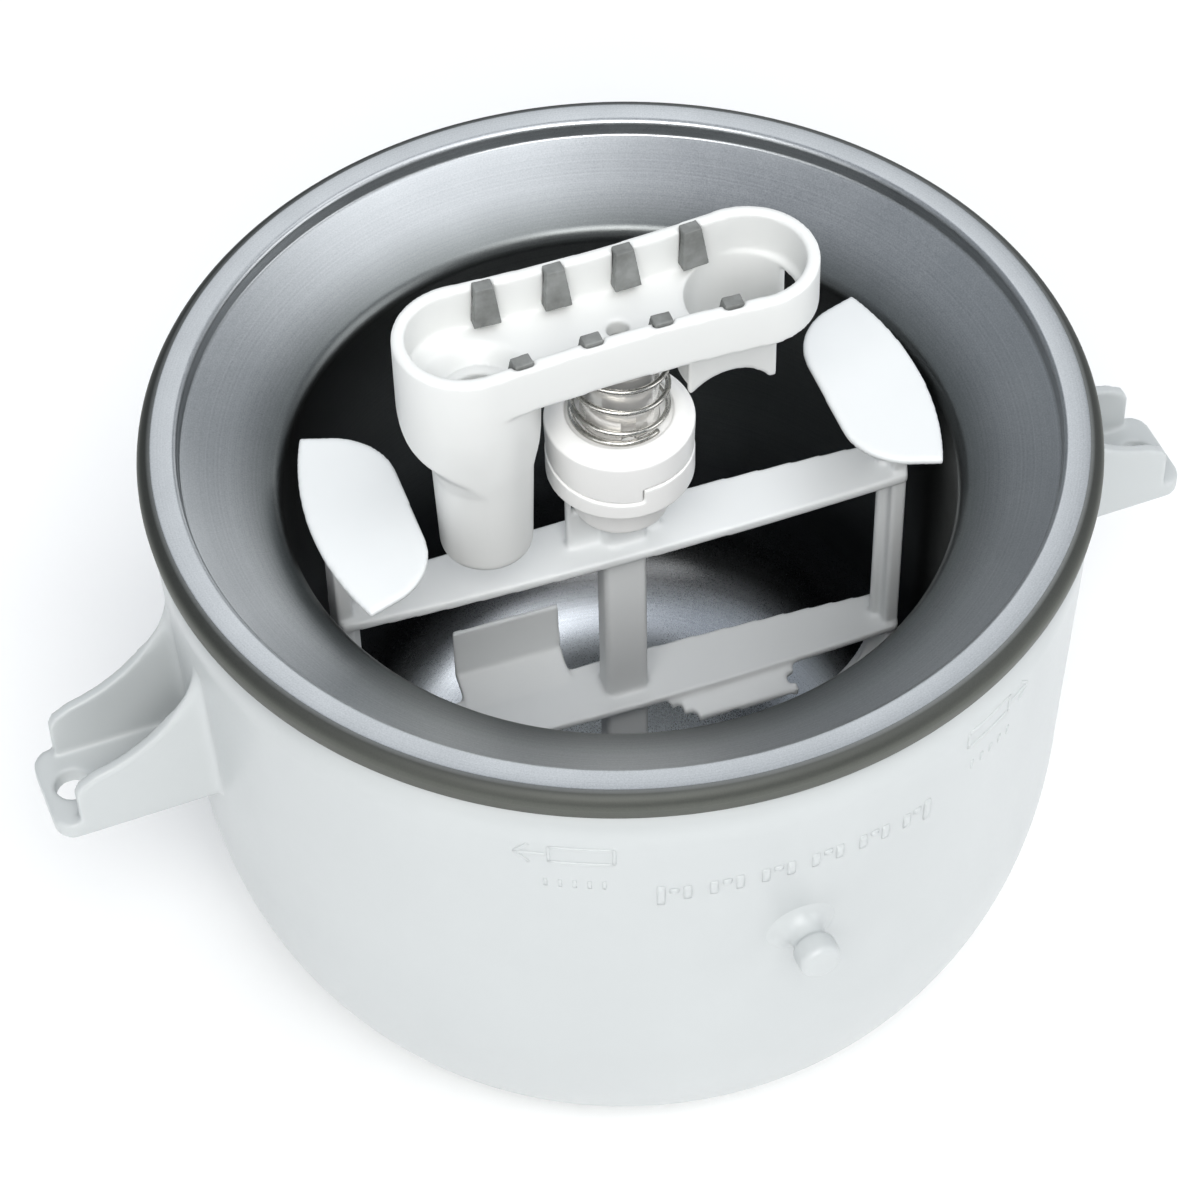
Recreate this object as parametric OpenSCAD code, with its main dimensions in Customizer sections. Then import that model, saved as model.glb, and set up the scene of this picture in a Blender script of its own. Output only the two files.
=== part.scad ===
// Ice cream maker attachment: a double-walled freezer bowl, a dasher that scrapes it,
// and the spring-loaded clutch drive that turns the dasher.
// Millimetres. Origin: centre of the bowl's resting face. +Z up, +X towards one ear,
// -Y towards the latch pin.

/* [Bowl] */
// Height of the rolled rim above the resting face
bowl_h = 168; // [160:1:180]
// Outer radius of the rolled rim
rim_r = 116; // [114:0.5:120]
// Radius of the step at the inner edge of the rim
step_r = 106; // [104:0.5:107]
// Radius of the chamber wall where the lead-in cone meets it
mouth_r = 82; // [81:0.5:84]
// Height of that edge
mouth_z = 148; // [146:1:152]
// Height of the chamber floor
floor_z = 27; // [24:1:30]
// Thickness of the spun aluminium liner
liner_t = 1.5; // [1:0.1:2]
// Wall thickness of the plastic shell
shell_t = 3; // [2.5:0.1:3.5]
// Radius of the flat resting face
base_r = 69; // [60:1:75]

/* [Ears and latch pin] */
// Distance from the axis to the hole in each ear
ear_hole_x = 145; // [140:1:150]
// Radius of the ear holes
ear_hole_r = 4.5; // [4:0.1:6]
// Overall width of an ear
ear_w = 26; // [24:1:30]
// Height of the ear plate's underside
ear_z = 92; // [85:1:100]
// Thickness of the ear plate
ear_plate_t = 5; // [4:0.5:6]
// Height of the latch pin's axis
latch_z = 106.4; // [100:0.2:112]
// Radius of the latch pin's head
latch_head_r = 5.2; // [4.5:0.1:6]

/* [Dasher] */
// Angle at which the dasher and the clutch stand at rest
rest_turn = -2.5; // [-4:0.5:0]
// Radius swept by the leaf paddles
leaf_r = 78; // [76:0.5:78.5]
// Height of the leaf paddles' tops
leaf_z = 158; // [156:0.5:160]
// Height of the upper crossbar's top
upper_bar_z = 128; // [126:0.5:130]
// Height of the lower crossbar's top
lower_bar_z = 70; // [66:0.5:74]
// Radius of the centre post
post_r = 6.3; // [5.5:0.1:7]
// Outer face of the side arms, from the axis
arm_x = 74.5; // [73:0.5:75]

/* [Drive] */
// Overall length of the drive tray
tray_l = 104.3; // [103:0.1:105]
// Width of the drive tray across its rounded ends
tray_w = 34.1; // [33.5:0.1:35]
// How far each long side is drawn in at the middle
waist = 1.5; // [1:0.1:2]
// Height of the tray's rim
tray_z = 211; // [210:0.5:213]
// Distance of the beater socket from the shaft, along the tray
socket_x = 36.4; // [36:0.1:36.8]
// Distance of the beater socket from the tray's middle line
socket_y = 4.6; // [4:0.1:4.6]
// Bore radius of the beater socket
socket_r = 6.4; // [6:0.1:7]
// Height of the beater socket's lower end
socket_z = 145.3; // [143:0.1:148]
// Radius of the drive shaft
shaft_r = 9.6; // [9.4:0.1:9.8]

/* [Clutch] */
// Outer radius of the clutch collar
collar_r = 18.3; // [18:0.1:18.6]
// Height of the collar's spring seat
seat_z = 171; // [170.5:0.1:171.5]
// Mean height of the two clutch ramps
ramp_z = 159.4; // [159:0.1:160]
// Rise of each ramp over half a turn
ramp_rise = 4.2; // [3.8:0.1:4.4]

/* [Hidden] */
$fn = 96;
gap = 0.15;              // between pieces that touch in the same body
run = 0.35;              // between the clutch's moving faces

// bowl
corner_r = 35;           // inner corner between the chamber's wall and floor
wall_r = 80;             // chamber wall at the top of that corner
lip_r = 5;               // rounding of the chamber's mouth
cone_a = 27.6;           // slope of the lead-in cone
roll_r = 4;              // rounding of the rim's outer edge
skirt_z = bowl_h - 6.8;  // lower edge of the rim's skirt
corner_z = 75;           // top of the shell's elliptical corner
belt_r = 111.4;          // shell radius there
brow_r = 114.6;          // shell radius just under the skirt
plug_pos = [0, 36, 0];   // fill plug, clear of the dasher's axis
cone_start = [mouth_r + lip_r - lip_r * sin(cone_a), mouth_z + lip_r * cos(cone_a)];
cone_end_z = cone_start[1] + (step_r - cone_start[0]) * tan(cone_a);

// dasher
foot_z = floor_z + 3;    // underside of the scraper bar
leaf_t = 2.2;
arm_t = 4;
arm_d = 10;
bend_x = 42;             // centre of the bend at the foot of each arm
bend_r = arm_x - bend_x;
bend_z = foot_z + bend_r;

// clutch
web_z = 163;             // underside of the collar's web
tooth_in_r = 13.4;       // inner radius of the ramped rings
key_w = 3.6;             // width of the shaft's keyways
key_depth = 1.2;
pilot_r = 6;
hub_bottom_z = 140.4;
collar_top_z = seat_z + 1;
flange_z = 152.3;        // underside of the hub's ramped ring
step_gap = 0.3;          // between the hub's and the collar's step faces
coil_wire_r = 0.7;
coil_r = 11.75;
coil_turns = 4.6;
closed_turns = 0.8;      // dead turns at each end

// tray
drive_turn = -0.5;
tray_shift = -2.45;      // from the shaft's axis to the middle of the tray
tray_wall = 3.2;
tray_bottom_z = 197;
tray_floor_z = 199;
well_z = 194.4;          // bottom of the recess around the socket
end_x = (tray_l - tray_w) / 2;
side_r = (end_x * end_x + waist * waist) / (2 * waist) - tray_w / 2;
side_y = side_r + tray_w / 2 - waist;
pad_low_z = tray_z - 9.8;
pocket_x = 31.3;         // centre of the open pocket at the +X end
pocket_r = 13.7;
pocket_z = 175.5;
boss_r = 7.4;            // boss that the shaft fits over
boss_z = 178;
screw_r = 1.5;
screw_seat_z = 192.5;
coil_lo = seat_z + coil_wire_r + 0.1;
coil_hi = tray_bottom_z - 1 - coil_wire_r;

function arc(c, r, a0, a1, n = 10) =
    [for (i = [0:n]) let (a = a0 + (a1 - a0) * i / n) [c[0] + r * cos(a), c[1] + r * sin(a)]];
function rev(v) = [for (i = [len(v) - 1:-1:0]) v[i]];

module racetrack(half_length, r) {
    translate([-half_length, -r]) square([2 * half_length, 2 * r]);
    for (s = [-1, 1]) translate([s * half_length, 0]) circle(r);
}

module ring(r_out, r_in, z0, z1) {
    translate([0, 0, z0]) difference() {
        cylinder(h = z1 - z0, r = r_out);
        translate([0, 0, -1]) cylinder(h = z1 - z0 + 2, r = r_in);
    }
}

// ---- bowl -------------------------------------------------------------------

// Chamber side of the liner, from the floor's centre out to the cone,
// moved outward into the metal by t.
function chamber_path(t) = concat(
    [[0, floor_z - t]],
    arc([wall_r - corner_r, floor_z + corner_r], corner_r + t, -90, 0, 15),
    arc([mouth_r + lip_r, mouth_z], lip_r - t, 178, 90 + cone_a)
);

module inner_liner() {
    top_flat = rim_r - roll_r;
    under_r = step_r + liner_t;
    inside = concat(
        chamber_path(0),
        [[step_r, cone_end_z], [step_r, bowl_h - 1.2], [step_r + 1.2, bowl_h]],
        arc([top_flat, bowl_h - roll_r], roll_r, 90, 0),
        [[rim_r - 0.4, skirt_z]]
    );
    outside = concat(
        chamber_path(liner_t),
        [[under_r, cone_end_z + liner_t * tan(cone_a) - liner_t / cos(cone_a)],
         [under_r, bowl_h - liner_t]],
        arc([top_flat, bowl_h - roll_r], roll_r - liner_t, 90, 0),
        [[rim_r - 0.4 - liner_t, skirt_z]]
    );
    color("silver") rotate_extrude() polygon(concat(inside, rev(outside)));
}

// Outer side of the shell from the base's centre to the spigot inside the rim.
function shell_path(t) = concat(
    [[0, t]],
    [for (i = [0:18]) let (a = -90 + 5 * i)
        [base_r + (belt_r - base_r - t) * cos(a), corner_z + (corner_z - t) * sin(a)]],
    [[brow_r - t, skirt_z - 0.4]]
);

module shell_solid() {
    rotate_extrude() polygon(concat(
        shell_path(0),
        [[rim_r - 2.3, skirt_z - 0.4], [rim_r - 2.3, bowl_h - 3], [0, bowl_h - 3]]
    ));
}

module shell_cavity() {
    rotate_extrude() polygon(concat(
        shell_path(shell_t), [[brow_r - shell_t, bowl_h], [0, bowl_h]]
    ));
}

// Side wall of an ear, drawn in X and Z, with the concave rise up to the shell.
module ear_wall_outline() {
    rise_c = [150, 149.5];
    rise_r = 38.3;
    polygon(concat(
        [[100, ear_z], [146.6, ear_z], [146.6, 107.6], [145.4, 109.9], [143.2, 111.1]],
        rev(arc(rise_c, rise_r, 180, 257, 12)),
        [[rise_c[0] - rise_r, 156], [100, 156]]
    ));
}

module ear() {
    wall_t = 3;
    corner = 5;
    tip_x = ear_hole_x + 7.5;
    difference() {
        union() {
            translate([0, 0, ear_z]) linear_extrude(ear_plate_t) {
                translate([100, -ear_w / 2]) square([tip_x - corner - 100, ear_w]);
                translate([100, corner - ear_w / 2])
                    square([tip_x - 100, ear_w - 2 * corner]);
                for (s = [-1, 1])
                    translate([tip_x - corner, s * (ear_w / 2 - corner)]) circle(corner);
            }
            for (y = [-ear_w / 2, ear_w / 2 - wall_t])
                translate([0, y + wall_t, 0]) rotate([90, 0, 0])
                    linear_extrude(wall_t) ear_wall_outline();
        }
        translate([ear_hole_x, 0, ear_z - 1]) cylinder(h = ear_plate_t + 2, r = ear_hole_r);
    }
}

// Pin that the mixer's spring clip grips; it stands out along -Y.
module latch_pin() {
    face_r = 112.2;
    neck_r = 4.1;
    translate([0, -face_r, latch_z]) rotate([90, 0, 0]) rotate_extrude() polygon(concat(
        [[0, -2.5], [7, -2.5], [7, 0.6], [5, 1.8], [neck_r, 3.6], [neck_r, 6.4],
         [latch_head_r - 0.6, 7.2], [latch_head_r, 8], [latch_head_r, 11.2]],
        arc([latch_head_r - 2, 11.2], 2, 10, 90, 6),
        [[0, 13.2]]
    ));
}

module outer_shell() {
    color("ghostwhite") difference() {
        union() {
            shell_solid();
            ear();
            mirror([1, 0, 0]) ear();
            latch_pin();
        }
        shell_cavity();
        translate(plug_pos + [0, 0, -1]) cylinder(h = shell_t + 2, r = 8);
    }
}

// Freezing liquid sealed between the shell and the liner.
module coolant_gel() {
    fill_z = 150;
    color("lightsteelblue") difference() {
        intersection() {
            rotate_extrude() polygon(concat(
                shell_path(shell_t + gap), [[0, skirt_z]]
            ));
            cylinder(h = fill_z, r = rim_r);
        }
        rotate_extrude() polygon(concat(
            chamber_path(liner_t + gap),
            [[step_r, cone_end_z - liner_t - 0.6], [step_r, bowl_h], [0, bowl_h]]
        ));
        translate(plug_pos) cylinder(h = 8, r = 9);
    }
}

module rim_gasket() {
    color("dimgray") ring(rim_r - 2.6, rim_r - 4.8, bowl_h - 2.9, bowl_h - 2.1);
}

module fill_plug() {
    color("whitesmoke") translate(plug_pos) {
        cylinder(h = shell_t, r = 7.9);
        translate([0, 0, shell_t - 0.1]) cylinder(h = 4, r = 6.5);
    }
}

// ---- dasher -----------------------------------------------------------------

// Crossbar seen from above: deepest at the post, narrower at the arms.
module bar_outline(mid_half, end_half, half_length) {
    sag = mid_half - end_half;
    r = (half_length * half_length + sag * sag) / (2 * sag);
    intersection() {
        translate([0, mid_half - r]) circle(r, $fn = 360);
        translate([0, r - mid_half]) circle(r, $fn = 360);
        square([2 * half_length, 2 * mid_half], center = true);
    }
}

module bar(top_z, thick, mid_half, end_half, reach = arm_x - 0.5) {
    translate([0, 0, top_z - thick]) linear_extrude(thick)
        bar_outline(mid_half, end_half, reach);
}

// Pointed leaf that scrapes the mouth of the chamber; its inner edge is straight
// between two round shoulders.
module leaf_outline() {
    half_y = 30;
    inner_x = 53;
    straight_y = 11.5;
    shoulder_r = 17;
    shoulder_x = inner_x + shoulder_r;
    tip_a = asin(half_y / leaf_r);
    polygon(concat(
        arc([0, 0], leaf_r, -tip_a, tip_a, 16),
        arc([shoulder_x, straight_y], shoulder_r, 112, 180, 12),
        arc([shoulder_x, -straight_y], shoulder_r, 180, 248, 12)
    ));
}

// Strip that runs down an arm and round its bend to the scraper bar.
module arm_strip(r_out, r_in, width) {
    translate([0, width / 2, 0]) rotate([90, 0, 0]) linear_extrude(width) polygon(concat(
        [[bend_x + r_in, leaf_z - 1]],
        arc([bend_x, bend_z], r_in, 0, -90, 12),
        arc([bend_x, bend_z], r_out, -90, 0, 12),
        [[bend_x + r_out, leaf_z - 1]]
    ));
}

module dasher_half() {
    arm_strip(bend_r, bend_r - arm_t, arm_d);
    // web inside the arm
    arm_strip(bend_r - arm_t + 0.8, bend_r - arm_t - 2.2, 2.4);
    translate([0, 0, leaf_z - leaf_t]) linear_extrude(leaf_t) leaf_outline();
}

// Part of the blade that slopes forward and down from the lower crossbar.
module scoop_strip(x0, x1, y0) {
    slope = 0.415;
    low = lower_bar_z + slope * (y0 + 4);
    translate([x0, 0, 0]) rotate([90, 0, 90]) linear_extrude(x1 - x0) polygon([
        [-4, lower_bar_z], [y0, low], [y0, low - 2.2], [-4, lower_bar_z - 2.3]
    ]);
}

// Scoop blade on the +X half; its ends are stepped.
module front_scoop() {
    scoop_strip(15.5, 41, -14.6);
    scoop_strip(12.3, 41, -12.4);
    scoop_strip(9.6, 43.4, -9.7);
    // outer corner past the notch
    translate([40.5, 0, 0]) rotate([90, 0, 90]) linear_extrude(2.8) polygon([
        [-12.4, lower_bar_z - 3.49], [-14.6, lower_bar_z - 4.4],
        [-14.6, lower_bar_z - 6.6], [-12.4, lower_bar_z - 5.7]
    ]);
}

// Its counterpart on the -X half rises behind the bar and ends in an upright flap.
module rear_scoop() {
    x0 = -41;
    x1 = -12.5;
    translate([x0, 0, 0]) rotate([90, 0, 90]) linear_extrude(x1 - x0) polygon([
        [4, lower_bar_z], [13.6, lower_bar_z + 3.6], [14.6, lower_bar_z + 18.4],
        [16, lower_bar_z + 18.4], [15.4, lower_bar_z + 1.6], [4, lower_bar_z - 2.4]
    ]);
}

module dasher() {
    color("white") rotate([0, 0, rest_turn]) {
        // post up to the hub, on a foot that turns on the chamber floor
        intersection() {
            translate([0, 0, foot_z]) cylinder(h = hub_bottom_z - gap - foot_z, r = post_r);
            translate([-post_r + 0.6, -4.3, 0]) cube([2 * post_r - 1.2, 8.6, bowl_h]);
        }
        translate([0, 0, floor_z + 0.4]) cylinder(h = 3, r = 4);
        bar(upper_bar_z, 3, 8.6, 6.6);
        bar(lower_bar_z, 2.4, 8.8, 6.2);
        bar(foot_z + 2.6, 2.6, 9, 6, bend_x + 3);
        dasher_half();
        rotate([0, 0, 180]) dasher_half();
        // rib between the upper crossbar and the hub
        translate([-14.2, -1.4, upper_bar_z - 0.5])
            cube([24.2, 2.8, hub_bottom_z - gap - upper_bar_z + 0.5]);
        translate([-14.4, -1.4, upper_bar_z - 0.5]) cube([1.3, 2.8, 23]);
        front_scoop();
        rear_scoop();
    }
}

// ---- clutch -----------------------------------------------------------------

// Everything below a two-step ramp around the Z axis whose mean height is z. The
// steps stand at the two ends of the Y axis; over moves them past it.
module below_ramp(z, r, over = 0) {
    tilt = atan(ramp_rise / 2 / collar_r);
    for (s = [0, 180]) rotate([0, 0, s]) intersection() {
        translate([0, 0, z]) rotate([-tilt, 0, 0])
            translate([-over, -2 * r, -60]) cube([2 * r, 4 * r, 60]);
        translate([-over, -2 * r, z - 50]) cube([2 * r, 4 * r, 100]);
    }
}

module clutch_hub() {
    color("whitesmoke") rotate([0, 0, rest_turn]) {
        intersection() {
            ring(collar_r - 0.1, tooth_in_r, flange_z, ramp_z + ramp_rise);
            below_ramp(ramp_z - run, collar_r + 2);
        }
        difference() {
            union() {
                translate([0, 0, hub_bottom_z]) cylinder(h = 12, r1 = 12, r2 = 12.8);
                translate([0, 0, flange_z]) cylinder(h = 2, r = tooth_in_r + 0.5);
            }
            translate([0, 0, hub_bottom_z + 3]) cylinder(h = 30, r = pilot_r + 0.35);
        }
    }
}

module keys(r_in, r_out, width, z0, z1) {
    for (a = [264.5, 24.5, 144.5]) rotate([0, 0, a])
        translate([r_in, -width / 2, z0]) cube([r_out - r_in, width, z1 - z0]);
}

module clutch_collar() {
    crown = 5.5;
    edge = 0.9;
    edge_z = collar_top_z - 2.7;
    body = concat(
        [[0, 150], [collar_r - 0.6, 150]],
        arc([collar_r - edge, edge_z], edge, 0, 44, 4),
        arc([coil_r + 1.6, collar_top_z - crown], crown, 44, 90, 6),
        [[coil_r + 1.5, collar_top_z], [coil_r + 1.1, seat_z], [0, seat_z]]
    );
    color("ghostwhite") rotate([0, 0, rest_turn]) {
        difference() {
            rotate_extrude() polygon(body);
            below_ramp(ramp_z, collar_r + 2, step_gap);
            translate([0, 0, 140]) cylinder(h = web_z - 140, r = tooth_in_r - 0.3);
            translate([0, 0, 140]) cylinder(h = 40, r = shaft_r + 0.08);
        }
        keys(shaft_r - key_depth + 0.3, shaft_r + 0.5, key_w - 0.5, web_z, seat_z);
    }
}

// ---- drive ------------------------------------------------------------------

// The tray's outline moved inward by t: two round ends joined by sides that are
// drawn in along large arcs.
module tray_outline(t) {
    r = tray_w / 2;
    join_x = end_x * (side_r + t) / (side_r + r);
    translate([tray_shift, 0]) {
        difference() {
            square([2 * join_x, 2 * (r - t)], center = true);
            for (s = [-1, 1]) translate([0, s * side_y]) circle(side_r + t, $fn = 720);
        }
        for (s = [-1, 1]) translate([s * end_x, 0]) circle(r - t);
    }
}

// Tapering tube, flush with the tray's front, and the skirt that swells out of it to
// meet the tray's rounded end.
module beater_tube() {
    top_r = 12.3;
    tip_r = 11.3;
    edge = 1.6;
    shoulder_z = 177.4;
    end_r = tray_w / 2 - 0.02;
    translate([-socket_x, -socket_y, 0]) rotate_extrude() polygon(concat(
        [[0, socket_z]],
        arc([tip_r - edge, socket_z + edge], edge, -90, 0, 6),
        [[top_r, shoulder_z], [top_r, tray_bottom_z + 1], [0, tray_bottom_z + 1]]
    ));
    intersection() {
        translate([-socket_x, -socket_y, 0]) rotate_extrude() polygon([
            [0, 169.6], [11.9, 170.8], [12.9, 176.4], [14.1, 179.2], [15.8, 181.1],
            [17.4, 183.2], [18.8, 186], [19.6, 189.2], [20.4, 194], [20.4, 197.5],
            [0, 197.5]
        ]);
        translate([tray_shift - end_x, 0, 0]) rotate_extrude() polygon([
            [0, 169], [16.5, 170], [16.7, 180], [16.85, 184.5], [end_r, 190],
            [end_r, 197.5], [0, 197.5]
        ]);
    }
}

// Open pocket at the +X end: a round wall on the far side and a flat web in front,
// arched along its lower edge and open towards +X.
module pocket_wall() {
    t = 2;
    web_y = -5;
    web_x0 = 15.2;
    web_x1 = 37.8;
    intersection() {
        difference() {
            union() {
                difference() {
                    translate([pocket_x, 0, pocket_z])
                        cylinder(h = tray_floor_z - pocket_z, r = pocket_r + t);
                    translate([pocket_x, 0, pocket_z - 1])
                        cylinder(h = 40, r = pocket_r);
                    translate([pocket_x - 30, -30 + web_y - t, pocket_z - 1])
                        cube([60, 30, 40]);
                    translate([web_x1 - 0.1, -30, pocket_z - 1])
                        cube([20, 36.5, 40]);
                }
                translate([web_x0, web_y - t, pocket_z])
                    cube([web_x1 - web_x0, t, tray_floor_z - pocket_z]);
            }
            // arch
            translate([25.5, 0, 168.8]) rotate([90, 0, 0])
                cylinder(h = 60, r = 12.4, center = true);
            // room for the collar when it is pushed up
            cylinder(h = collar_top_z + 5.2, r = collar_r + 0.7);
        }
        translate([0, -20, pocket_z]) cube([60, 40, 40]);
    }
}

module tray_floor() {
    difference() {
        translate([0, 0, tray_bottom_z]) linear_extrude(tray_z - tray_bottom_z)
            tray_outline(0);
        translate([0, 0, tray_floor_z]) linear_extrude(20) tray_outline(tray_wall);
    }
}

// Funnel-shaped recess that leads down to the ring around the socket.
module socket_recess() {
    intersection() {
        translate([0, 0, 190]) linear_extrude(30) tray_outline(tray_wall);
        translate([-socket_x, -socket_y, well_z])
            cylinder(h = tray_floor_z - well_z + 0.1, r1 = 9.4, r2 = 13.5);
    }
}

module drive_tray() {
    color("snow") rotate([0, 0, drive_turn]) {
        difference() {
            union() {
                difference() {
                    union() {
                        tray_floor();
                        beater_tube();
                    }
                    socket_recess();
                }
                pocket_wall();
                translate([-socket_x, -socket_y, well_z - 1])
                    cylinder(h = 2.4, r = 9);
                translate([0, 0, boss_z])
                    cylinder(h = tray_bottom_z - boss_z + 1, r = boss_r);
            }
            translate([-socket_x, -socket_y, socket_z - 1]) cylinder(h = 70, r = socket_r);
            translate([pocket_x, 0, tray_bottom_z - 1]) cylinder(h = 9, r = pocket_r);
            translate([0, 0, screw_seat_z]) cylinder(h = 20, r = 2.7);
            translate([0, 0, boss_z - 1]) cylinder(h = 20, r = screw_r + 0.1);
            for (i = [0:7]) pad_place(i) pad_slot();
        }
    }
}

// Pads 1 to 4 stand along the +Y wall and 5 to 8 along the -Y wall. The pad's own
// origin lies on the wall's inner face.
module pad_place(i) {
    pitch = 17.3;
    x = (i % 4 - 1.5) * pitch;
    in_r = side_r + tray_wall;
    side = i < 4 ? 0 : 1;
    mirror([0, side, 0]) translate([x + tray_shift, side_y - sqrt(in_r * in_r - x * x), 0])
        rotate([0, 0, asin(x / in_r)]) children();
}

module pad_slot() {
    translate([-2.45, -1, pad_low_z - 0.1]) cube([4.9, 2.8, 30]);
}

// Rubber wedge: narrow at the top, wider and prouder of the wall at the bottom.
module pad_shape() {
    top_z = tray_z + 0.5;
    intersection() {
        translate([0, 20, 0]) rotate([90, 0, 0]) linear_extrude(40) polygon([
            [-3.4, pad_low_z], [3.4, pad_low_z], [2.3, top_z], [-2.3, top_z]
        ]);
        translate([-5, 0, 0]) rotate([90, 0, 90]) linear_extrude(10) polygon([
            [-3.5, pad_low_z], [-gap, pad_low_z], [-gap, top_z], [-1.7, top_z]
        ]);
    }
    translate([-2.3, -1, pad_low_z + 0.05]) cube([4.6, 2.65, top_z - pad_low_z - 0.05]);
}

module grip_pad(i) {
    color("gray") rotate([0, 0, drive_turn]) pad_place(i) pad_shape();
}

module drive_shaft() {
    top_z = tray_bottom_z - 0.1;
    shoulder_z = web_z - 0.4;
    color("gainsboro") rotate([0, 0, rest_turn]) difference() {
        union() {
            translate([0, 0, shoulder_z]) cylinder(h = top_z - shoulder_z, r = shaft_r);
            translate([0, 0, 148]) cylinder(h = 20, r = pilot_r);
            translate([0, 0, 146.6]) cylinder(h = 1.4, r1 = 4.6, r2 = pilot_r);
        }
        translate([0, 0, boss_z - 0.1]) cylinder(h = 40, r = boss_r + 0.1);
        translate([0, 0, 166]) cylinder(h = 20, r = screw_r + 0.1);
        keys(shaft_r - key_depth, shaft_r + 2, key_w, shoulder_z - 1, 178);
    }
}

module shaft_screw() {
    color("darkgray") difference() {
        union() {
            translate([0, 0, 166.5]) cylinder(h = screw_seat_z - 166, r = screw_r);
            translate([0, 0, screw_seat_z + 0.1]) cylinder(h = 2.2, r = 2.5);
        }
        for (a = [0, 90]) rotate([0, 0, a])
            translate([-1.6, -0.35, screw_seat_z + 1.2]) cube([3.2, 0.7, 2]);
    }
}

module spring_washer() {
    color("silver") ring(coil_r + 1.4, shaft_r + 0.1, tray_bottom_z - 0.9, tray_bottom_z - 0.1);
}

module retaining_ring() {
    top_z = web_z - 0.5;
    color("dimgray") ring(12.4, pilot_r + 0.05, top_z - 1.2, top_z);
}

// Height of the spring's wire after u turns; the turns at both ends lie closed.
function coil_z(u) =
    let (closed_rise = closed_turns * 2.1 * coil_wire_r,
         active = coil_hi - coil_lo - 2 * closed_rise,
         v = (u - closed_turns) / (coil_turns - 2 * closed_turns))
    u < closed_turns ? coil_lo + u * 2.1 * coil_wire_r
    : u > coil_turns - closed_turns ? coil_hi - (coil_turns - u) * 2.1 * coil_wire_r
    : coil_lo + closed_rise + v * active;

module clutch_spring() {
    steps = 20;
    sides = 8;
    n = round(coil_turns * steps);
    points = [for (i = [0:n], j = [0:sides - 1])
        let (a = -360 * i / steps - 60, b = 360 * j / sides,
             r = coil_r + coil_wire_r * cos(b))
        [r * cos(a), r * sin(a), coil_z(i / steps) + coil_wire_r * sin(b)]];
    faces = concat(
        [[for (j = [0:sides - 1]) j]],
        [[for (j = [sides - 1:-1:0]) n * sides + j]],
        [for (i = [0:n - 1], j = [0:sides - 1])
            let (k = (j + 1) % sides)
            [i * sides + k, i * sides + j, (i + 1) * sides + j, (i + 1) * sides + k]]
    );
    color("silver") polyhedron(points, faces, convexity = 6);
}

outer_shell();
inner_liner();
coolant_gel();
rim_gasket();
fill_plug();
dasher();
clutch_hub();
drive_tray();
drive_shaft();
shaft_screw();
spring_washer();
clutch_spring();
retaining_ring();
clutch_collar();
for (i = [1:8]) grip_pad(i - 1);
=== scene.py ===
"""Looks for the ice cream maker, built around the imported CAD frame."""

import math

import bmesh
import bpy
from mathutils import Matrix, Vector


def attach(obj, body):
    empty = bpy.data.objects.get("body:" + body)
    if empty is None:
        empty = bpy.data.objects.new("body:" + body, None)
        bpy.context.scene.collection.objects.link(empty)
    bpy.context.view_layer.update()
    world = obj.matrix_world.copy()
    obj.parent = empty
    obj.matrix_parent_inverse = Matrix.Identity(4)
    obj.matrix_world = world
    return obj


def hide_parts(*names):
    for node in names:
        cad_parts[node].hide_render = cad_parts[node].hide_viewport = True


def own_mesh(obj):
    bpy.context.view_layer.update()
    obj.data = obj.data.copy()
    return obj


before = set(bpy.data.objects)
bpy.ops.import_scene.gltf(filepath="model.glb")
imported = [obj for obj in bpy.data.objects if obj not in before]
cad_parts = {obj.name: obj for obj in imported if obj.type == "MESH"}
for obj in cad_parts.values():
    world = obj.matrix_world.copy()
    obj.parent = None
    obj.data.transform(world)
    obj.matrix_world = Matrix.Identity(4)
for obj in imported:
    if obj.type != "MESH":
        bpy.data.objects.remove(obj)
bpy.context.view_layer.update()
MM = 0.001

# The same sizes as the CAD model, in millimetres.
BOWL_H = 168.0
RIM_R = 116.0
STEP_R = 106.0
MOUTH_R = 82.0
MOUTH_Z = 148.0
FLOOR_Z = 27.0
LINER_T = 1.5
WALL_R = 80.0
CORNER_R = 35.0
LIP_R = 5.0
CONE = math.radians(27.6)
ROLL_R = 4.0
SKIRT_Z = 161.2
BASE_R = 69.0
BELT_R = 111.4
BROW_R = 114.6
CORNER_Z = 75.0
SHELL_T = 3.0
SHELL_TOP_Z = SKIRT_Z - 0.4
LEDGE_R = RIM_R - 2.3
LEDGE_Z = BOWL_H - 3
ROLL_EDGE_R = 112.5
MARK_R = 114
EAR_Z = 92.0
COIL_R = 11.75
COIL_WIRE_R = 0.7
COIL_LO = 171.8
COIL_HI = 195.3
COIL_TURNS = 4.6
COIL_CLOSED = 0.8
COIL_CLOSED_PITCH = 2.1 * COIL_WIRE_R
COIL_START = math.radians(60)

# The box that cuts one ear from the CAD shell, in metres.
EAR_BOX = (0.056, 0.056, 0.076)
EAR_BOX_X = 0.135
EAR_BOX_Z = 0.121

# How an ear's root is faired into the wall, in millimetres off the shell's surface.
ROOT_REACH = 9.0
ROOT_FADE = 5.0
SINK_BAND = 1.5
SINK_DEPTH = 0.12


# ---- mesh helpers -----------------------------------------------------------

def arc(centre, r, a0, a1, n):
    """Points on an arc, angles in degrees."""
    out = []
    for i in range(n + 1):
        a = math.radians(a0 + (a1 - a0) * i / n)
        out.append((centre[0] + r * math.cos(a), centre[1] + r * math.sin(a)))
    return out


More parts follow.
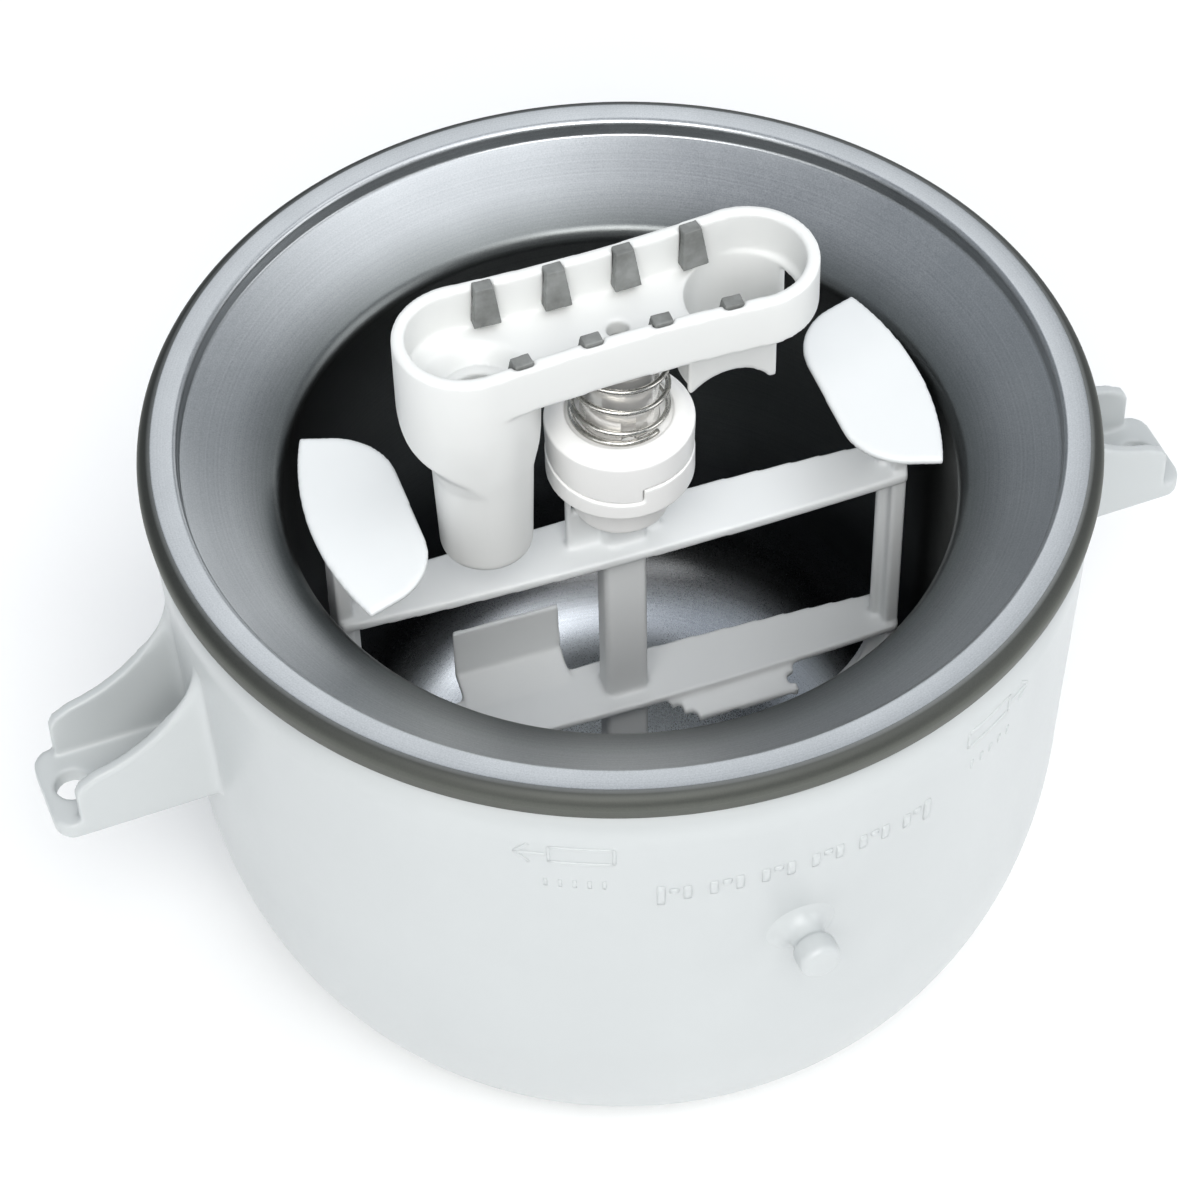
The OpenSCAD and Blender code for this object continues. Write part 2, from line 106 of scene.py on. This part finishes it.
def rounded(points, n=5):
    """An open or closed outline of (x, y, radius), with its corners rounded."""
    out = []
    count = len(points)
    for i, (x, y, r) in enumerate(points):
        if r <= 0:
            out.append((x, y))
            continue
        p = Vector((x, y))
        a = Vector(points[i - 1][:2]) - p
        b = Vector(points[(i + 1) % count][:2]) - p
        half = a.angle(b) / 2
        reach = min(r / math.tan(half), a.length * 0.49, b.length * 0.49)
        r = reach * math.tan(half)
        a.normalize()
        b.normalize()
        centre = p + (a + b).normalized() * (r / math.sin(half))
        start = p + a * reach - centre
        end = p + b * reach - centre
        turn = start.angle_signed(end)
        for k in range(n + 1):
            q = start.copy()
            q.rotate(Matrix.Rotation(-turn * k / n, 2))
            out.append(tuple(centre + q))
    return out


def make_object(name, bm, body, material, replaced=()):
    bmesh.ops.recalc_face_normals(bm, faces=bm.faces[:])
    mesh = bpy.data.meshes.new(name)
    bm.to_mesh(mesh)
    bm.free()
    mesh.materials.append(material)
    for polygon in mesh.polygons:
        polygon.use_smooth = True
    piece = bpy.data.objects.new(name, mesh)
    bpy.context.scene.collection.objects.link(piece)
    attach(piece, body)
    if replaced:
        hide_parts(*replaced)
    return piece


def spin(bm, profile, steps, at=(0, 0, 0)):
    """Adds a surface of revolution about Z. The profile is (r, z) in millimetres;
    a point with r = 0 becomes a pole."""
    rings = []
    for r, z in profile:
        if r < 1e-6:
            v = bm.verts.new((at[0] * MM, at[1] * MM, (z + at[2]) * MM))
            rings.append([v] * steps)
        else:
            rings.append([
                bm.verts.new((
                    (at[0] + r * math.cos(math.tau * i / steps)) * MM,
                    (at[1] + r * math.sin(math.tau * i / steps)) * MM,
                    (z + at[2]) * MM))
                for i in range(steps)])
    for low, high in zip(rings, rings[1:]):
        for i in range(steps):
            j = (i + 1) % steps
            corners = []
            for v in (low[i], low[j], high[j], high[i]):
                if v not in corners:
                    corners.append(v)
            if len(corners) > 2:
                bm.faces.new(corners)


def node_mesh(bm, node):
    """Adds a copy of a CAD node's mesh."""
    bm.from_mesh(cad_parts[node].data)
    bmesh.ops.remove_doubles(bm, verts=bm.verts[:], dist=1e-6)


def remesh(piece, voxel, smooth):
    """Fuses and softens a piece the way moulded plastic is soft at its edges."""
    m = piece.modifiers.new("voxels", "REMESH")
    m.mode = "VOXEL"
    m.voxel_size = voxel * MM
    m.use_smooth_shade = True
    s = piece.modifiers.new("soften", "SMOOTH")
    s.factor = 0.5
    s.iterations = smooth


def apply_modifiers(piece):
    graph = bpy.context.evaluated_depsgraph_get()
    done = bpy.data.meshes.new_from_object(piece.evaluated_get(graph))
    old = piece.data
    piece.modifiers.clear()
    piece.data = done
    bpy.data.meshes.remove(old)
    for polygon in piece.data.polygons:
        polygon.use_smooth = True


# ---- materials --------------------------------------------------------------

def fill_ramp(node, stops):
    """Gives a colour ramp its stops, each a position and a colour."""
    elements = node.color_ramp.elements
    while len(elements) < len(stops):
        elements.new(0.5)
    for e, (pos, colour) in zip(elements, stops):
        e.position = pos
        e.color = (*colour, 1)


class Nodes:
    """Short names for building a material's node tree."""

    def __init__(self, name):
        self.material = bpy.data.materials.new(name)
        self.material.use_nodes = True
        self.tree = self.material.node_tree
        self.shader = self.tree.nodes["Principled BSDF"]
        self.coords = self.tree.nodes.new("ShaderNodeTexCoord").outputs["Object"]

    def link(self, a, b):
        self.tree.links.new(a, b)

    def feed(self, socket, v):
        """Sets a socket to a number or a colour, or links another node's output to it."""
        if isinstance(v, (int, float)):
            socket.default_value = v
        elif isinstance(v, tuple):
            socket.default_value = (*v, 1)
        else:
            self.link(v, socket)

    def noise(self, scale, detail=2.0, rough=0.5, stretch=None):
        source = self.coords
        if stretch:
            m = self.tree.nodes.new("ShaderNodeMapping")
            m.inputs["Scale"].default_value = stretch
            self.link(source, m.inputs["Vector"])
            source = m.outputs[0]
        n = self.tree.nodes.new("ShaderNodeTexNoise")
        n.inputs["Scale"].default_value = scale
        n.inputs["Detail"].default_value = detail
        n.inputs["Roughness"].default_value = rough
        self.link(source, n.inputs["Vector"])
        return n.outputs["Fac"]

    def spread(self, value, low, high, from_low=0.3, from_high=0.7):
        m = self.tree.nodes.new("ShaderNodeMapRange")
        m.inputs["From Min"].default_value = from_low
        m.inputs["From Max"].default_value = from_high
        m.inputs["To Min"].default_value = low
        m.inputs["To Max"].default_value = high
        self.link(value, m.inputs["Value"])
        return m.outputs["Result"]

    def ramp(self, value, stops):
        r = self.tree.nodes.new("ShaderNodeValToRGB")
        fill_ramp(r, stops)
        self.link(value, r.inputs["Fac"])
        return r.outputs["Color"]

    def math(self, op, a, b):
        m = self.tree.nodes.new("ShaderNodeMath")
        m.operation = op
        self.feed(m.inputs[0], a)
        self.feed(m.inputs[1], b)
        return m.outputs[0]

    def mix(self, fac, a, b, blend="MIX"):
        m = self.tree.nodes.new("ShaderNodeMix")
        m.data_type = "RGBA"
        m.blend_type = blend
        self.feed(m.inputs["Factor"], fac)
        self.feed(m.inputs[6], a)
        self.feed(m.inputs[7], b)
        return m.outputs[2]

    def bump(self, height, strength, distance, after=None):
        b = self.tree.nodes.new("ShaderNodeBump")
        b.inputs["Strength"].default_value = strength
        b.inputs["Distance"].default_value = distance * MM
        self.link(height, b.inputs["Height"])
        if after:
            self.link(after, b.inputs["Normal"])
        return b.outputs["Normal"]

    def axis(self, which):
        s = self.tree.nodes.new("ShaderNodeSeparateXYZ")
        self.link(self.coords, s.inputs[0])
        return s.outputs[which]

    def set(self, **values):
        names = {"color": "Base Color", "roughness": "Roughness", "metallic": "Metallic",
                 "coat": "Coat Weight", "coat_roughness": "Coat Roughness", "ior": "IOR",
                 "normal": "Normal", "anisotropic": "Anisotropic", "tangent": "Tangent",
                 "specular": "Specular IOR Level"}
        for key, v in values.items():
            self.feed(self.shader.inputs[names[key]], v)
        return self.material


def plastic(name, light, dark, rough_low, rough_high, coat=0.0):
    """Moulded plastic: faint cloudiness, flow marks, fine grain, dulled patches."""
    n = Nodes(name)
    cloud = n.noise(14, 4, 0.6)
    flow = n.noise(30, 3, 0.5, stretch=(1, 1, 0.25))
    colour = n.mix(n.spread(cloud, 0, 1), light, dark)
    peel = n.noise(420, 2, 0.5)
    fine = n.noise(900, 2, 0.6)
    rough = n.math("ADD", n.spread(flow, rough_low, rough_high), n.spread(fine, -0.02, 0.02))
    normal = n.bump(peel, 0.12, 0.012)
    normal = n.bump(fine, 0.2, 0.01, normal)
    return n.set(color=colour, roughness=rough, normal=normal, coat=coat, coat_roughness=0.3)


def spun_metal():
    """Satin spun aluminium: fine speckled grain, faint turning lines, slow mottling."""
    n = Nodes("spun_aluminium")
    x, y, z = n.axis(0), n.axis(1), n.axis(2)
    radius = n.math("SQRT", n.math("ADD", n.math("MULTIPLY", x, x), n.math("MULTIPLY", y, y)), 0)
    across = n.math("ADD", radius, z)
    lines = n.tree.nodes.new("ShaderNodeTexNoise")
    lines.noise_dimensions = "1D"
    lines.inputs["Scale"].default_value = 1400
    lines.inputs["Detail"].default_value = 3
    n.link(across, lines.inputs["W"])
    grain = n.noise(2600, 2, 0.7)
    mottling = n.noise(35, 3, 0.6)
    turning = n.math("MULTIPLY", lines.outputs["Fac"], 0.3)
    tone = n.math("ADD", n.math("MULTIPLY", grain, 0.7), turning)
    colour = n.ramp(tone, [(0.30, (0.40, 0.42, 0.435)), (0.70, (0.58, 0.60, 0.615))])
    # Painted light and shade set by height in the chamber: a painted highlight on the floor and its
    # corner (colour above 1), painted shade on the chamber walls and across the lip where its highlight
    # would fall.
    wall = n.ramp(n.spread(z, 0, 1, 0.020, 0.180), [
        (0.045, (1.5, 1.52, 1.56)), (0.065, (1.2, 1.21, 1.24)), (0.09, (0.35, 0.35, 0.355)),
        (0.12, (0.10, 0.10, 0.10)), (0.30, (0.09, 0.09, 0.09)), (0.45, (0.24, 0.24, 0.23)),
        (0.80, (0.22, 0.22, 0.21)), (0.83, (0.42, 0.43, 0.42)), (0.86, (0.8, 0.8, 0.8)),
        (0.92, (1.0, 1.0, 1.0))])
    # The rim's skirt and roll are made darker, with a further dip across the roll's crown that is
    # painted shade over the front lamp's highlight.
    skirt = n.ramp(n.spread(z, 0, 1, 0.161, 0.168), [
        (0.0, (0.22, 0.22, 0.19)), (0.5, (0.28, 0.28, 0.245)), (0.80, (0.18, 0.18, 0.16)),
        (0.95, (0.17, 0.17, 0.155)), (1.0, (0.5, 0.5, 0.48))])
    outer = n.math("GREATER_THAN", radius, ROLL_EDGE_R * MM)
    colour = n.mix(1.0, colour, n.mix(outer, wall, skirt), "MULTIPLY")
    rough = n.math("ADD", n.spread(grain, 0.30, 0.42), n.spread(mottling, -0.03, 0.03))
    rough = n.math("ADD", rough, n.spread(z, -0.06, 0.0, 0.045, 0.075))
    rough = n.math("ADD", rough, n.math("MULTIPLY", outer, 0.22))
    normal = n.bump(grain, 0.5, 0.02)
    normal = n.bump(lines.outputs["Fac"], 0.3, 0.01, normal)
    tangent = n.tree.nodes.new("ShaderNodeTangent")
    tangent.direction_type = "RADIAL"
    tangent.axis = "Z"
    return n.set(color=colour, roughness=rough, metallic=1.0, normal=normal, anisotropic=0.35,
                 tangent=tangent.outputs[0])


def steel(name, light, dark, rough_low, rough_high, stretch, scratch=0.2, metal=1.0):
    n = Nodes(name)
    scratches = n.noise(900, 4, 0.6, stretch=stretch)
    stain = n.noise(90, 3, 0.6)
    colour = n.mix(n.spread(stain, 0, 1), light, dark)
    rough = n.spread(scratches, rough_low, rough_high)
    normal = n.bump(scratches, scratch, 0.01)
    return n.set(color=colour, roughness=rough, metallic=metal, normal=normal)


def rubber(name, light, dark):
    n = Nodes(name)
    speck = n.noise(1300, 3, 0.7)
    wear = n.noise(160, 3, 0.6)
    colour = n.mix(n.spread(wear, 0, 1), light, dark)
    rough = n.spread(speck, 0.55, 0.8)
    normal = n.bump(speck, 0.5, 0.06)
    return n.set(color=colour, roughness=rough, normal=normal)


SHELL = plastic("shell_plastic", (0.49, 0.513, 0.516), (0.468, 0.49, 0.493), 0.32, 0.40,
                coat=0.12)
DASHER = plastic("dasher_plastic", (0.745, 0.765, 0.77), (0.70, 0.72, 0.725), 0.40, 0.50)
CLUTCH = plastic("clutch_plastic", (0.95, 0.95, 0.94), (0.92, 0.92, 0.91), 0.34, 0.42)
DRIVE = plastic("drive_plastic", (0.765, 0.775, 0.765), (0.735, 0.745, 0.735), 0.34, 0.42,
                coat=0.08)
PLUG = plastic("plug_plastic", (0.74, 0.75, 0.75), (0.70, 0.71, 0.71), 0.42, 0.55)
LINER = spun_metal()
SHAFT = steel("polished_steel", (0.93, 0.92, 0.90), (0.84, 0.83, 0.81), 0.16, 0.26,
              (0.15, 0.15, 2), 0.08, metal=0.7)
SPRING = steel("spring_wire", (0.66, 0.65, 0.61), (0.46, 0.45, 0.42), 0.18, 0.32, (1, 1, 1))
SCREW = steel("plated_steel", (0.55, 0.55, 0.54), (0.45, 0.45, 0.44), 0.25, 0.4, (1, 1, 1))
PAD = rubber("pad_rubber", (0.24, 0.25, 0.245), (0.13, 0.135, 0.13))
SEAL = rubber("seal_rubber", (0.02, 0.02, 0.02), (0.012, 0.012, 0.012))


def gel_material():
    n = Nodes("coolant_gel")
    cloud = n.noise(60, 4, 0.6)
    colour = n.ramp(cloud, [(0.3, (0.45, 0.60, 0.75)), (0.7, (0.60, 0.72, 0.84))])
    return n.set(color=colour, roughness=n.spread(cloud, 0.2, 0.5), normal=n.bump(cloud, 0.3, 0.2))


# ---- bowl -------------------------------------------------------------------

def chamber(t):
    """Chamber side of the liner out to the cone, moved into the metal by t."""
    path = [(0.0, FLOOR_Z - t), (40.0, FLOOR_Z - t)]
    path += arc((WALL_R - CORNER_R, FLOOR_Z + CORNER_R), CORNER_R + t, -90, 0, 24)
    path += [(WALL_R + t + 0.6, 70.0), (WALL_R + t + 1.2, 110.0)]
    path += arc((MOUTH_R + LIP_R, MOUTH_Z), LIP_R - t, 178, 90 + math.degrees(CONE), 14)
    return path


def build_liner():
    start_r = MOUTH_R + LIP_R - LIP_R * math.sin(CONE)
    start_z = MOUTH_Z + LIP_R * math.cos(CONE)
    cone_end = start_z + (STEP_R - start_r) * math.tan(CONE)
    top_flat = RIM_R - ROLL_R
    inside = chamber(0)
    inside += [(STEP_R - 6, cone_end - 6 * math.tan(CONE))]
    inside += rounded([
        (STEP_R - 6, cone_end - 6 * math.tan(CONE), 0), (STEP_R, cone_end, 1.0),
        (STEP_R + 0.1, BOWL_H, 1.5), (top_flat, BOWL_H, 0)], 6)[1:-1]
    inside += arc((top_flat, BOWL_H - ROLL_R), ROLL_R, 90, 0, 16)
    inside += [(RIM_R - 0.3, SKIRT_Z + 0.4), (RIM_R - 0.6, SKIRT_Z)]
    under_r = STEP_R + LINER_T
    under_z = cone_end + LINER_T * math.tan(CONE) - LINER_T / math.cos(CONE)
    outside = chamber(LINER_T)
    outside += [(under_r, under_z), (under_r, BOWL_H - LINER_T)]
    outside += arc((top_flat, BOWL_H - ROLL_R), ROLL_R - LINER_T, 90, 0, 10)
    outside += [(RIM_R - 0.4 - LINER_T, SKIRT_Z)]
    bm = bmesh.new()
    spin(bm, inside + outside[::-1], 256)
    return make_object("liner", bm, "bowl", LINER, ["inner_liner"])


def shell_radius(z):
    """Radius of the shell's outer surface at height z."""
    if z >= CORNER_Z:
        return BELT_R + (BROW_R - BELT_R) * (z - CORNER_Z) / (SHELL_TOP_Z - CORNER_Z)
    drop = max(0.0, 1 - ((CORNER_Z - z) / CORNER_Z) ** 2)
    return BASE_R + (BELT_R - BASE_R) * math.sqrt(drop)


def build_shell_body():
    outer = [(0.0, 0.0), (30.0, 0.0)]
    for i in range(31):
        a = math.radians(-90 + 3 * i)
        outer.append((BASE_R + (BELT_R - BASE_R) * math.cos(a), CORNER_Z + CORNER_Z * math.sin(a)))
    outer += [(BELT_R + (BROW_R - BELT_R) * k / 6, CORNER_Z + (SHELL_TOP_Z - CORNER_Z) * k / 6)
              for k in range(1, 7)]
    outer += [(LEDGE_R, SHELL_TOP_Z), (LEDGE_R, LEDGE_Z)]
    inner = [(0.0, SHELL_T), (30.0, SHELL_T)]
    for i in range(19):
        a = math.radians(-90 + 5 * i)
        inner.append((BASE_R + (BELT_R - BASE_R - SHELL_T) * math.cos(a),
                      CORNER_Z + (CORNER_Z - SHELL_T) * math.sin(a)))
    inner += [(BROW_R - SHELL_T, SHELL_TOP_Z), (BROW_R - SHELL_T, LEDGE_Z)]
    bm = bmesh.new()
    spin(bm, outer + inner[::-1], 256)
    return make_object("shell_body", bm, "bowl", SHELL, ["outer_shell"])


def build_ear(name, side):
    """One ear cut from the CAD shell, softened, with its root faired into the wall."""
    bm = bmesh.new()
    node_mesh(bm, "outer_shell")
    piece = make_object(name, bm, "bowl", SHELL, ["outer_shell"])
    cutter = bpy.data.meshes.new("ear_cutter")
    box = bmesh.new()
    place = Matrix.Translation((side * EAR_BOX_X, 0, EAR_BOX_Z)) @ Matrix.Diagonal((*EAR_BOX, 1))
    bmesh.ops.create_cube(box, size=1.0, matrix=place)
    box.to_mesh(cutter)
    box.free()
    cut = bpy.data.objects.new("ear_cutter", cutter)
    bpy.context.scene.collection.objects.link(cut)
    b = piece.modifiers.new("cut", "BOOLEAN")
    b.operation = "INTERSECT"
    b.object = cut
    remesh(piece, 0.6, 7)
    apply_modifiers(piece)
    bpy.data.objects.remove(cut)
    # a wide fillet where the ear's walls run into the shell
    root = piece.vertex_groups.new(name="root")
    for v in piece.data.vertices:
        d = math.hypot(v.co.x, v.co.y) / MM - shell_radius(v.co.z / MM)
        if v.co.z > (EAR_Z + 1) * MM:
            root.add([v.index], max(0.0, min(1.0, (ROOT_REACH - d) / ROOT_FADE)), "REPLACE")
    fillet = piece.modifiers.new("fillet", "SMOOTH")
    fillet.factor = 0.5
    fillet.iterations = 70
    fillet.vertex_group = "root"
    apply_modifiers(piece)
    # the rest of the cut-out patch sinks just under the shell's own surface
    for v in piece.data.vertices:
        r = math.hypot(v.co.x, v.co.y) / MM
        d = r - shell_radius(v.co.z / MM)
        if -SINK_BAND < d < SINK_BAND:
            t = max(0.0, min(1.0, d / SINK_BAND))
            k = 1 - SINK_DEPTH * (1 - t * t * (3 - 2 * t)) / r
            v.co.x *= k
            v.co.y *= k
    return piece


def surface_point(turn, z, lift):
    """A point above the shell's wall, at an angle in degrees and a height."""
    r = (shell_radius(z) + lift) * MM
    a = math.radians(turn)
    return Vector((r * math.cos(a), r * math.sin(a), z * MM))


def raised_line(bm, ends, width, height):
    """A raised moulded line on the shell, from one (angle, height) to another."""
    (t0, z0), (t1, z1) = ends
    span = math.hypot(math.radians(t1 - t0) * MARK_R, z1 - z0)
    across = ((z0 - z1) / span, math.radians(t1 - t0) * MARK_R / span)
    steps = max(3, int(span / 1.2))
    half = width / 2
    section = [(-half - 0.2, -0.3), (-half, height * 0.75), (-half * 0.5, height),
               (half * 0.5, height), (half, height * 0.75), (half + 0.2, -0.3)]
    rings = []
    for i in range(steps + 1):
        t = t0 + (t1 - t0) * i / steps
        z = z0 + (z1 - z0) * i / steps
        low = 0.35 if i in (0, steps) else 1.0
        rings.append([
            bm.verts.new(surface_point(t + math.degrees(o * across[0] / MARK_R), z + o * across[1],
                                       lift * low if lift > 0 else lift))
            for o, lift in section])
    count = len(section)
    for a, b in zip(rings, rings[1:]):
        for j in range(count):
            k = (j + 1) % count
            bm.faces.new((a[j], a[k], b[k], b[j]))
    bm.faces.new(rings[0])
    bm.faces.new(rings[-1])


def arrow_mark(bm, turn, z, side):
    """Outlined arrow with a row of short dashes under it."""
    def at(along, up):
        return (turn + side * math.degrees(along / MARK_R), z + up)
    for ends in (((-6, 0), (-14, -0.4)), ((-14, -0.4), (-10.6, 3.2)), ((-14, -0.4), (-10.6, -3.8))):
        raised_line(bm, (at(*ends[0]), at(*ends[1])), 0.8, 0.32)
    for a, b in (((-6, -2.8), (-6, 2.8)), ((-6, 2.8), (9, 2.8)), ((9, 2.8), (9, -2.8)),
                 ((9, -2.8), (-6, -2.8))):
        raised_line(bm, (at(*a), at(*b)), 0.7, 0.32)
    for k in range(5):
        raised_line(bm, (at(-7 + 3.4 * k, -9.6), at(-7 + 3.4 * k, -12.4)), 0.8, 0.3)


def build_marks():
    """Plain raised marks on the front of the shell: two arrows and a row of bars."""
    bm = bmesh.new()
    arrow_mark(bm, -117, 145, 1)
    arrow_mark(bm, -62.5, 145, -1)
    for k in range(12):
        turn = -107.2 + 3.1 * k
        middle = 129.4 + 1.6 * math.sin(math.pi * k / 11)
        tall = 3.6 if k in (0, 11) else 2.4
        raised_line(bm, ((turn, middle - tall), (turn, middle + tall)), 1.7, 0.5)
        if k < 11 and k % 2 == 0:
            raised_line(bm, ((turn + 1.0, middle + 1.5), (turn + 2.1, middle + 1.5)), 1.4, 0.5)
    return make_object("shell_marks", bm, "bowl", SHELL, ["outer_shell"])


def build_pin():
    profile = [(0.0, -3.5), (11.0, -3.5), (11.0, -1.2)]
    profile += [(8.6, 0.1), (7.0, 0.75), (5.9, 1.5), (5.0, 2.5), (4.35, 3.7), (4.1, 5.0)]
    profile += [(4.1, 6.0), (4.35, 6.6), (4.9, 7.1), (5.2, 7.8), (5.2, 10.9)]
    profile += arc((3.2, 11.2), 2.0, 5, 90, 8)
    profile += [(0.0, 13.2)]
    bm = bmesh.new()
    spin(bm, profile, 64)
    place = Matrix.Translation((0, -112.2 * MM, 106.4 * MM)) @ Matrix.Rotation(math.pi / 2, 4, "X")
    bmesh.ops.transform(bm, matrix=place, verts=bm.verts[:])
    return make_object("latch_pin", bm, "bowl", SHELL, ["outer_shell"])


def build_plug():
    bm = bmesh.new()
    profile = rounded([
        (0, 0.5, 0), (3.2, 0.5, 0.2), (3.4, 0.1, 0.2), (7.9, 0.1, 0.4), (7.9, 3.0, 0.2),
        (6.5, 3.1, 0.2), (6.5, 6.9, 0.4), (0, 6.9, 0)], 4)
    spin(bm, profile, 48, at=(0, 36, 0))
    return make_object("fill_plug_cap", bm, "bowl", PLUG, ["fill_plug"])


# ---- dasher and clutch ------------------------------------------------------

def build_moulding(name, node, body, material, voxel, smooth):
    bm = bmesh.new()
    node_mesh(bm, node)
    piece = make_object(name, bm, body, material, [node])
    remesh(piece, voxel, smooth)
    return piece


def coil_height(u):
    """Height of the wire's centre after u turns, with close-wound ends."""
    rise = COIL_CLOSED * COIL_CLOSED_PITCH
    active = COIL_HI - COIL_LO - 2 * rise
    if u < COIL_CLOSED:
        return COIL_LO + u * COIL_CLOSED_PITCH
    if u > COIL_TURNS - COIL_CLOSED:
        return COIL_HI - (COIL_TURNS - u) * COIL_CLOSED_PITCH
    return COIL_LO + rise + (u - COIL_CLOSED) / (COIL_TURNS - 2 * COIL_CLOSED) * active


def build_spring():
    steps, sides = 72, 14
    count = round(COIL_TURNS * steps)
    bm = bmesh.new()
    rings = []
    for i in range(count + 1):
        u = i / steps
        a = -math.tau * u - COIL_START
        z = coil_height(u)
        wire = COIL_WIRE_R
        if i == 0 or i == count:
            wire *= 0.86
        ring = []
        for j in range(sides):
            b = math.tau * j / sides
            r = COIL_R + wire * math.cos(b)
            up = z + wire * math.sin(b)
            ring.append(bm.verts.new((r * math.cos(a) * MM, r * math.sin(a) * MM, up * MM)))
        rings.append(ring)
    for low, high in zip(rings, rings[1:]):
        for j in range(sides):
            k = (j + 1) % sides
            bm.faces.new((low[j], low[k], high[k], high[j]))
    bm.faces.new(rings[0])
    bm.faces.new(rings[-1])
    return make_object("clutch_spring_wire", bm, "drive", SPRING, ["clutch_spring"])


# ---- build ------------------------------------------------------------------

build_liner()
build_shell_body()
build_ear("ear_left", -1)
build_ear("ear_right", 1)
build_pin()
build_marks()
build_plug()
build_moulding("dasher_moulding", "dasher", "dasher_unit", DASHER, 0.63, 6)
build_moulding("hub_moulding", "clutch_hub", "dasher_unit", CLUTCH, 0.3, 6)
build_moulding("collar_moulding", "clutch_collar", "collar", CLUTCH, 0.3, 6)
build_moulding("tray_moulding", "drive_tray", "drive", DRIVE, 0.52, 9)
spring = build_spring()
for i in range(1, 9):
    build_moulding(f"pad_{i}", f"grip_pad_{i}", "drive", PAD, 0.22, 5)
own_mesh(spring)

for node, material in (("drive_shaft", SHAFT), ("shaft_screw", SCREW), ("spring_washer", SCREW),
                       ("retaining_ring", SCREW), ("rim_gasket", SEAL), ("coolant_gel", gel_material())):
    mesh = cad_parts[node].data
    mesh.materials.clear()
    mesh.materials.append(material)


# ---- floor, light and camera ------------------------------------------------

def build_floor():
    bm = bmesh.new()
    bmesh.ops.create_grid(bm, x_segments=2, y_segments=2, size=6.0)
    mesh = bpy.data.meshes.new("floor")
    bm.to_mesh(mesh)
    bm.free()
    n = Nodes("floor_paper")
    tone = n.noise(3, 2)
    n.set(color=n.ramp(tone, [(0.3, (0.975, 0.975, 0.972)), (0.7, (0.99, 0.99, 0.988))]),
          roughness=0.9, specular=0.1)
    mesh.materials.append(n.material)
    floor = bpy.data.objects.new("floor", mesh)
    floor.location.z = -0.0004
    bpy.context.scene.collection.objects.link(floor)


def area_light(name, location, target, size, power, colour=(1, 1, 1)):
    light = bpy.data.lights.new(name, "AREA")
    light.shape = "RECTANGLE"
    light.size, light.size_y = size
    light.energy = power
    light.color = colour
    lamp = bpy.data.objects.new(name, light)
    lamp.location = location
    lamp.rotation_mode = "QUATERNION"
    lamp.rotation_quaternion = (Vector(target) - Vector(location)).to_track_quat("-Z", "Y")
    bpy.context.scene.collection.objects.link(lamp)


def build_world():
    """Dim at the horizon and bright overhead, like a dark studio under a large softbox."""
    world = bpy.data.worlds.new("studio")
    bpy.context.scene.world = world
    world.use_nodes = True
    tree = world.node_tree
    coords = tree.nodes.new("ShaderNodeTexCoord")
    split = tree.nodes.new("ShaderNodeSeparateXYZ")
    ramp = tree.nodes.new("ShaderNodeValToRGB")
    stops = [(0.0, (0.40, 0.43, 0.46)), (0.35, (0.42, 0.45, 0.48)), (0.62, (0.50, 0.55, 0.60)),
             (0.85, (0.62, 0.67, 0.74)), (1.0, (0.66, 0.70, 0.78))]
    fill_ramp(ramp, stops)
    tree.links.new(coords.outputs["Generated"], split.inputs[0])
    tree.links.new(split.outputs[2], ramp.inputs["Fac"])
    tree.links.new(ramp.outputs["Color"], tree.nodes["Background"].inputs["Color"])
    tree.nodes["Background"].inputs["Strength"].default_value = 0.6


def build_camera():
    """The matching view. The angles are azimuth, elevation and roll."""
    azimuth, elevation, roll = (math.radians(a) for a in (-20.56, 49.09, 1.36))
    level_part = math.cos(elevation)
    forward = Vector((-math.sin(azimuth) * level_part, math.cos(azimuth) * level_part,
                      -math.sin(elevation)))
    level = Vector((math.cos(azimuth), math.sin(azimuth), 0))
    above = level.cross(forward)
    right = level * math.cos(roll) - above * math.sin(roll)
    up = level * math.sin(roll) + above * math.cos(roll)
    data = bpy.data.cameras.new("camera")
    data.sensor_width = 36
    data.lens = 116.1
    data.clip_start = 0.05
    camera = bpy.data.objects.new("camera", data)
    turn = Matrix((right, up, -forward)).transposed()
    camera.matrix_world = Matrix.Translation((-0.2301, -0.5973, 0.8408)) @ turn.to_4x4()
    bpy.context.scene.collection.objects.link(camera)
    bpy.context.scene.camera = camera


build_floor()
build_world()
area_light("front", (-0.45, -1.15, 1.42), (0, 0, 0.12), (1.3, 1.1), 28, (1.0, 0.985, 0.965))
area_light("overhead", (0.42, -0.24, 1.5), (0, 0, 0.15), (1.2, 0.8), 5.6)
area_light("back", (0.35, 1.25, 1.5), (0, 0, 0.15), (1.0, 0.8), 3.4)
area_light("back_right", (1.5, 1.2, 0.62), (0, 0, 0.16), (1.0, 0.7), 2.6)
area_light("front_left", (-1.3, -0.7, 0.6), (0, 0, 0.1), (0.9, 0.9), 4.2)
area_light("front_right", (1.3, -0.7, 0.6), (0, 0, 0.1), (0.9, 0.9), 6.0)
build_camera()

view = bpy.context.scene.view_settings
view.view_transform = "Standard"
